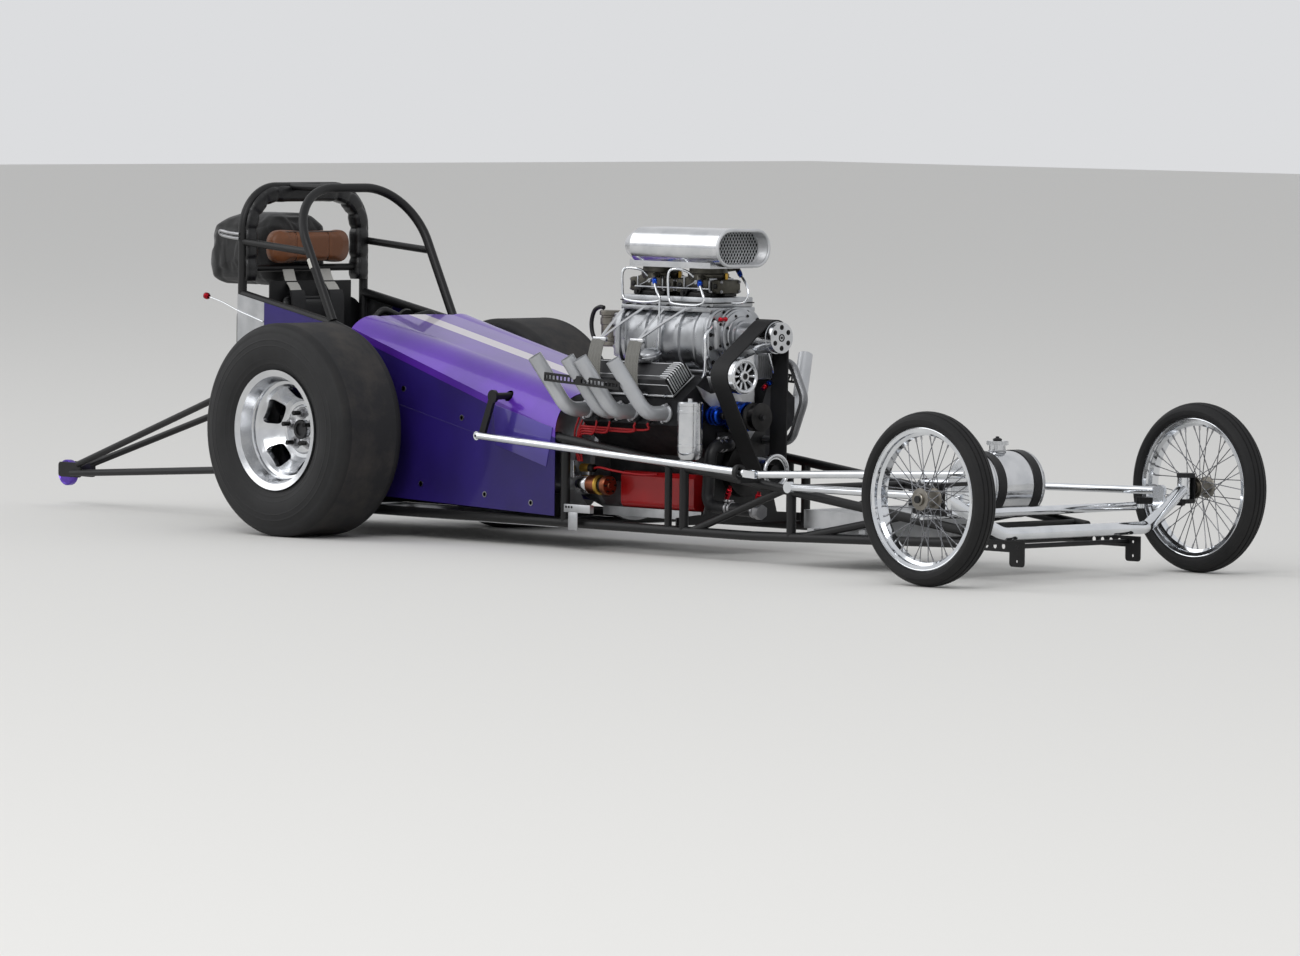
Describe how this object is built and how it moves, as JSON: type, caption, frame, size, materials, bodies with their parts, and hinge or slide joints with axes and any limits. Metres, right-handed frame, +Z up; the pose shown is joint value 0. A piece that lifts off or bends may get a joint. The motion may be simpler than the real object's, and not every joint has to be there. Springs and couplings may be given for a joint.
{
  "type": "drag racing car",
  "caption": "Long front-engined dragster with an open tube frame, supercharged engine, fat rear slicks, thin wire front wheels, roll cage and a trailing wheelie bar",
  "frame": {"origin": "on the ground under the middle of the car's length and width", "axes": "+X forward to the nose, +Y to the driver's left, +Z up"},
  "size_m": [5.3803, 1.368, 1.2082],
  "materials": {
    "purple_paint": "deep metallic purple, clear coated",
    "indigo_paint": "flat dark indigo body side",
    "black_frame": "satin black powder coat",
    "red_engine": "glossy red engine enamel",
    "header_coating": "pale ceramic coating",
    "chrome": "polished chrome",
    "polished_alloy": "polished cast alloy",
    "brushed_alloy": "plain sheet alloy",
    "cast_iron": "bare casting",
    "slick_rubber": "dull black slick rubber",
    "tyre_rubber": "black tyre rubber",
    "belt_rubber": "black toothed rubber",
    "hose": "braided steel over rubber",
    "black_vinyl": "padded black vinyl",
    "brown_leather": "stitched brown leather",
    "black_fabric": "woven black nylon",
    "belt_webbing": "black and white webbing"
  },
  "bodies": {
    "chassis": {"air_scoop": "polished_alloy", "axle_housing": "black_frame", "battery_box": "brushed_alloy", "blower_pulleys": "polished_alloy", "carburettors": "polished_alloy", "cowl": "purple_paint", "drive_belt": "belt_rubber", "engine_accessories": "polished_alloy", "engine_block": "cast_iron", "floor_and_firewall": "brushed_alloy", "frame_members": "black_frame", "frame_rails": "black_frame", "front_axle": "chrome", "front_brackets": "black_frame", "front_tank": "polished_alloy", "gearbox": "brushed_alloy", "harness": "belt_webbing", "headers": "header_coating", "headrest": "brown_leather", "hoop_padding": "black_vinyl", "hoses": "hose", "oil_pan": "red_engine", "parachute_pack": "black_fabric", "roll_cage": "black_frame", "seat": "brushed_alloy", "seat_padding": "black_vinyl", "side_panels": "indigo_paint", "steering_box": "cast_iron", "supercharger": "polished_alloy", "valve_covers": "polished_alloy", "wheelie_bar": "black_frame"},
    "rear_axle": {"rear_wheel_right": "polished_alloy", "rear_wheel_left": "polished_alloy", "rear_tyre_right": "slick_rubber", "rear_tyre_left": "slick_rubber"},
    "front_wheel_body_right": {"front_wheel_right": "chrome", "front_tyre_right": "tyre_rubber"},
    "front_wheel_body_left": {"front_wheel_left": "chrome", "front_tyre_left": "tyre_rubber"},
    "knuckle_body_right": {"knuckle_right": "black_frame"},
    "knuckle_body_left": {"knuckle_left": "black_frame"},
    "tie_rod_body": {"tie_rod": "chrome"},
    "pitman_body": {"pitman_arm": "black_frame"},
    "drag_link_rear_body": {"drag_link_rear": "chrome"},
    "drag_link_front_body": {"drag_link_front": "chrome"},
    "steering_wheel_body": {"steering_wheel": "black_frame"},
    "wheelie_wheel_body": {"wheelie_wheel": "purple_paint"}
  },
  "joints": [
    {"name": "rear_axle_spin", "type": "hinge", "parent": "chassis", "child": "rear_axle", "pos_m": [-0.7482, 0, 0.3685], "axis": [0, 1, 0], "continuous": true},
    {"name": "steer", "type": "hinge", "parent": "chassis", "child": "knuckle_body_right", "pos_m": [2.4108, -0.556, 0.2794], "axis": [0, 0, 1], "range_deg": [-15, 15]},
    {"name": "steer_left", "type": "hinge", "parent": "chassis", "child": "knuckle_body_left", "pos_m": [2.4108, 0.556, 0.2794], "axis": [0, 0, 1], "range_deg": [-15.5, 15.5]},
    {"name": "front_spin_right", "type": "hinge", "parent": "knuckle_body_right", "child": "front_wheel_body_right", "pos_m": [2.4108, -0.631, 0.2794], "axis": [0, 1, 0], "continuous": true},
    {"name": "front_spin_left", "type": "hinge", "parent": "knuckle_body_left", "child": "front_wheel_body_left", "pos_m": [2.4108, 0.631, 0.2794], "axis": [0, 1, 0], "continuous": true},
    {"name": "tie_rod_pivot", "type": "hinge", "parent": "knuckle_body_right", "child": "tie_rod_body", "pos_m": [2.2468, -0.52, 0.2144], "axis": [0, 0, 1], "range_deg": [-17, 17]},
    {"name": "pitman_swing", "type": "hinge", "parent": "chassis", "child": "pitman_body", "pos_m": [0.0548, -0.38, 0.51], "axis": [0, 1, 0], "range_deg": [-12, 12]},
    {"name": "drag_link_rear_pivot", "type": "hinge", "parent": "pitman_body", "child": "drag_link_rear_body", "pos_m": [-0.0002, -0.38, 0.374], "axis": [0, 1, 0], "range_deg": [-12, 12]},
    {"name": "drag_link_front_pivot", "type": "hinge", "parent": "drag_link_rear_body", "child": "drag_link_front_body", "pos_m": [1.3618, -0.38, 0.303], "axis": [0, 1, 0], "range_deg": [-1, 1]},
    {"name": "steering_wheel_turn", "type": "hinge", "parent": "chassis", "child": "steering_wheel_body", "pos_m": [-0.7932, 0, 0.742], "axis": [-0.9316, 0.2535, 0.2606], "range_deg": [-125, 125]},
    {"name": "wheelie_spin", "type": "hinge", "parent": "chassis", "child": "wheelie_wheel_body", "pos_m": [-2.6432, 0, 0.12], "axis": [0, 1, 0], "continuous": true}
  ],
  "couplings": [
    {"joint": "steer_left", "follows": "steer", "ratio": 1},
    {"joint": "tie_rod_pivot", "follows": "steer", "ratio": -1.0683},
    {"joint": "pitman_swing", "follows": "steer", "ratio": 0.7634},
    {"joint": "drag_link_rear_pivot", "follows": "steer", "ratio": -0.73495},
    {"joint": "drag_link_front_pivot", "follows": "steer", "ratio": -0.02527},
    {"joint": "steering_wheel_turn", "follows": "steer", "ratio": 8}
  ]
}
